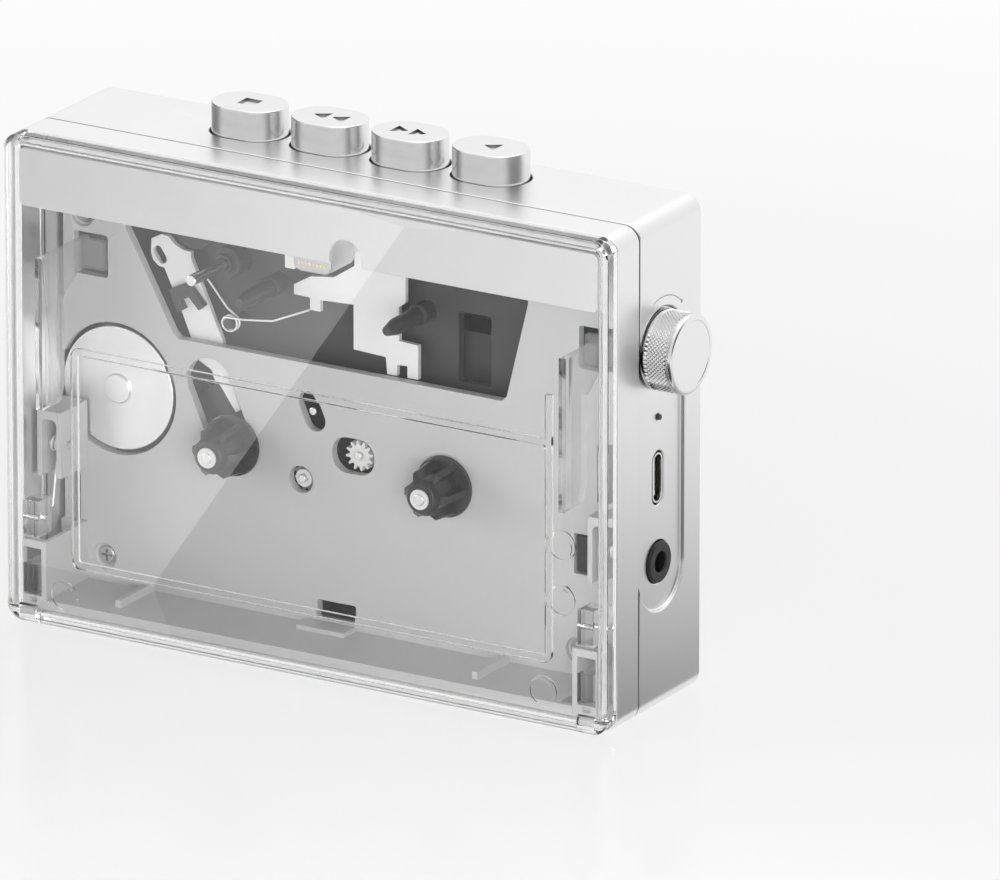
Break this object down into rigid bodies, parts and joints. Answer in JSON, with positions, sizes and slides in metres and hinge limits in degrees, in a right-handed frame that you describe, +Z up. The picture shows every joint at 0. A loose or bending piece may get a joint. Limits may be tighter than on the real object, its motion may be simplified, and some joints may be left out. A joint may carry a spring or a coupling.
{
  "type": "portable cassette player",
  "caption": "Portable cassette player: aluminium case, clear hinged front lid over the tape mechanism, keys on top, volume knob and sockets on the right side.",
  "frame": {"origin": "middle of the case's base, between its left and right sides and its front and back", "axes": "+X to the player's right-hand side as seen from the front, with the knob; +Y to its back; +Z up, to the keys"},
  "size_m": [0.1258, 0.0318, 0.0935],
  "materials": {
    "case_aluminium": "bead-blasted and anodised",
    "key_aluminium": "satin",
    "clear_plastic": "clear, polished",
    "grey_plastic": "fine matte",
    "dark_plastic": "matte",
    "black_plastic": "semi-gloss",
    "white_plastic": "smooth",
    "plated_steel": "bright zinc plating",
    "spring_steel": "drawn wire",
    "pin_steel": "ground",
    "motor_steel": "pale matte coat",
    "brass": "turned",
    "rubber": "matte",
    "board": "solder resist",
    "battery_wrap": "film",
    "light_plastic": "diffusing"
  },
  "bodies": {
    "case": {"rear_shell": "case_aluminium", "front_ring": "case_aluminium", "back_plate": "case_aluminium", "hinge_pins": "pin_steel", "deck": "grey_plastic", "deck_screws": "plated_steel", "head_cover": "grey_plastic", "hinge_bracket_left": "grey_plastic", "hinge_bracket_right": "grey_plastic", "spring_block_left": "grey_plastic", "spring_block_right": "grey_plastic", "spring_pins": "pin_steel", "lid_springs": "spring_steel", "stop_key_spring": "spring_steel", "rewind_key_spring": "spring_steel", "forward_key_spring": "spring_steel", "play_key_spring": "spring_steel", "volume_pot": "dark_plastic", "usb_socket": "plated_steel", "headphone_socket": "black_plastic", "status_light": "light_plastic", "main_board": "board", "battery": "battery_wrap", "chassis": "dark_plastic", "motor": "motor_steel", "drive_belt": "rubber", "capstan_bearing": "dark_plastic", "reel_axles": "pin_steel", "reel_washers": "white_plastic", "gear_pins": "pin_steel", "slide_spring": "spring_steel", "switch_board": "board", "key_switches": "dark_plastic"},
    "lid": {"lid": "clear_plastic", "lug_pins": "pin_steel"},
    "stop_key": {"stop_key": "key_aluminium"},
    "rewind_key": {"rewind_key": "key_aluminium"},
    "forward_key": {"forward_key": "key_aluminium"},
    "play_key": {"play_key": "key_aluminium"},
    "volume": {"volume_knob": "key_aluminium", "volume_shaft": "brass"},
    "motor_rotor": {"motor_shaft": "pin_steel", "motor_pulley": "brass"},
    "flywheel": {"flywheel": "plated_steel", "capstan": "pin_steel"},
    "left_reel": {"reel_hub_left": "black_plastic", "reel_gear_left": "white_plastic"},
    "right_reel": {"reel_hub_right": "black_plastic", "reel_gear_right": "white_plastic"},
    "idler": {"idler_gear": "white_plastic"},
    "transfer": {"transfer_gear": "white_plastic"},
    "head_slide": {"head_slide": "plated_steel", "tape_head": "plated_steel", "tape_guide": "white_plastic"},
    "brake_lever": {"brake_lever": "plated_steel", "brake_pad": "dark_plastic"},
    "pinch_arm": {"pinch_arm": "plated_steel", "pinch_pin": "pin_steel"},
    "pinch_roller": {"pinch_roller": "rubber"}
  },
  "joints": [
    {"name": "lid_hinge", "type": "hinge", "parent": "case", "child": "lid", "pos_m": [0, -0.0139, 0.0022], "axis": [1, 0, 0], "range_deg": [0, 40]},
    {"name": "stop_press", "type": "slide", "parent": "case", "child": "stop_key", "axis": [0, 0, -1], "range_m": [0, 0.0035], "stiffness_N_per_m": 400, "springref_m": -0.0008, "deforming": ["stop_key_spring"]},
    {"name": "rewind_press", "type": "slide", "parent": "case", "child": "rewind_key", "axis": [0, 0, -1], "range_m": [0, 0.0035], "stiffness_N_per_m": 400, "springref_m": -0.0008, "deforming": ["rewind_key_spring"]},
    {"name": "forward_press", "type": "slide", "parent": "case", "child": "forward_key", "axis": [0, 0, -1], "range_m": [0, 0.0035], "stiffness_N_per_m": 400, "springref_m": -0.0008, "deforming": ["forward_key_spring"]},
    {"name": "play_press", "type": "slide", "parent": "case", "child": "play_key", "axis": [0, 0, -1], "range_m": [0, 0.0035], "stiffness_N_per_m": 400, "springref_m": -0.0008, "deforming": ["play_key_spring"]},
    {"name": "slide_move", "type": "slide", "parent": "case", "child": "head_slide", "axis": [0, 0, -1], "range_m": [0, 0.0035]},
    {"name": "brake_swing", "type": "hinge", "parent": "case", "child": "brake_lever", "pos_m": [-0.0295, 0.0029, 0.0495], "axis": [0, -1, 0], "range_deg": [0, 5]},
    {"name": "pinch_swing", "type": "hinge", "parent": "case", "child": "pinch_arm", "pos_m": [-0.0405, 0.0029, 0.076], "axis": [0, 1, 0], "range_deg": [0, 15.8]},
    {"name": "pinch_roller_spin", "type": "hinge", "parent": "pinch_arm", "child": "pinch_roller", "pos_m": [-0.0252, -0.0058, 0.076], "axis": [0, 1, 0], "continuous": true},
    {"name": "volume_turn", "type": "hinge", "parent": "case", "child": "volume", "pos_m": [0.062, 0.003, 0.0645], "axis": [1, 0, 0], "range_deg": [-140, 140]},
    {"name": "left_reel_spin", "type": "hinge", "parent": "case", "child": "left_reel", "pos_m": [-0.0232, 0, 0.034], "axis": [0, 1, 0], "continuous": true},
    {"name": "right_reel_spin", "type": "hinge", "parent": "case", "child": "right_reel", "pos_m": [0.0193, 0, 0.034], "axis": [0, 1, 0], "continuous": true},
    {"name": "idler_spin", "type": "hinge", "parent": "case", "child": "idler", "pos_m": [0.00161, 0.003, 0.03601], "axis": [0, 1, 0], "continuous": true},
    {"name": "transfer_spin", "type": "hinge", "parent": "case", "child": "transfer", "pos_m": [-0.00957, 0.003, 0.03002], "axis": [0, 1, 0], "continuous": true},
    {"name": "flywheel_spin", "type": "hinge", "parent": "case", "child": "flywheel", "pos_m": [-0.0252, 0.011, 0.06605], "axis": [0, 1, 0], "continuous": true},
    {"name": "motor_spin", "type": "hinge", "parent": "case", "child": "motor_rotor", "pos_m": [-0.0466, 0.011, 0.04], "axis": [0, 1, 0], "continuous": true}
  ],
  "couplings": [
    {"joint": "slide_move", "follows": "play_press", "ratio": 1},
    {"joint": "brake_swing", "follows": "play_press", "rad_per_m": 24.9},
    {"joint": "pinch_swing", "follows": "play_press", "rad_per_m": 78.7},
    {"joint": "idler_spin", "follows": "right_reel_spin", "ratio": -6.4167},
    {"joint": "transfer_spin", "follows": "left_reel_spin", "ratio": -3.4375},
    {"joint": "motor_spin", "follows": "flywheel_spin", "ratio": 6}
  ]
}
